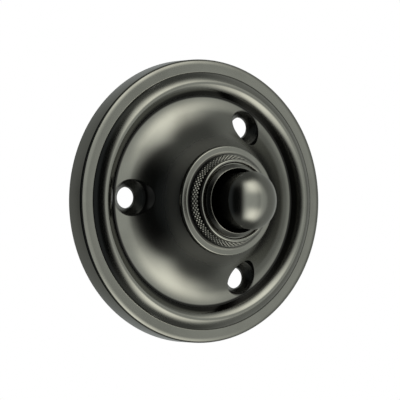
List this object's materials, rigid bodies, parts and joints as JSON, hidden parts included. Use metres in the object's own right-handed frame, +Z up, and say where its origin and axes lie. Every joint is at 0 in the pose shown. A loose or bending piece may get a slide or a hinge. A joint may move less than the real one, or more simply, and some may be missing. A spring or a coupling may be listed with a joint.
{
  "type": "doorbell push button",
  "caption": "Round door bell push: moulded hollow-backed rose, knurled ring nut, domed spring-return button and a contact base behind.",
  "frame": {"origin": "middle of the back face of the rose, where the push's axis meets the wall", "axes": "+Y along the push's axis into the wall, so the button faces -Y; +Z up; one screw hole lies level with the axis on the -X side"},
  "size_m": [0.076, 0.0339, 0.076],
  "materials": {
    "bronzed_brass": "satin dark bronze",
    "bare_brass": "plain turned",
    "spring_steel": "plain",
    "plated_steel": "bright zinc",
    "insulator": "moulded, dull",
    "white_plastic": "plain",
    "phosphor_bronze": "rolled strip",
    "silver_contact": "bright"
  },
  "bodies": {
    "fixed": {"rose": "bronzed_brass", "guide_barrel": "bronzed_brass", "lock_washer": "plated_steel", "ring_nut": "bronzed_brass", "return_spring": "spring_steel", "contact_base": "insulator", "moving_contact": "phosphor_bronze", "fixed_contact": "phosphor_bronze", "contact_point": "silver_contact", "base_screw_1": "plated_steel", "base_screw_2": "plated_steel", "clamp_washer_1": "bare_brass", "clamp_washer_2": "bare_brass", "terminal_screw_1": "bare_brass", "terminal_screw_2": "bare_brass", "terminal_nut_1": "bare_brass", "terminal_nut_2": "bare_brass"},
    "button": {"push_button": "bronzed_brass", "stem_washer": "plated_steel", "retaining_clip": "spring_steel", "insulating_tip": "white_plastic"}
  },
  "joints": [
    {"name": "button_press", "type": "slide", "parent": "fixed", "child": "button", "axis": [0, 1, 0], "range_m": [0, 0.0025], "stiffness_N_per_m": 400, "springref_m": -0.002, "deforming": ["return_spring", "moving_contact"]}
  ]
}
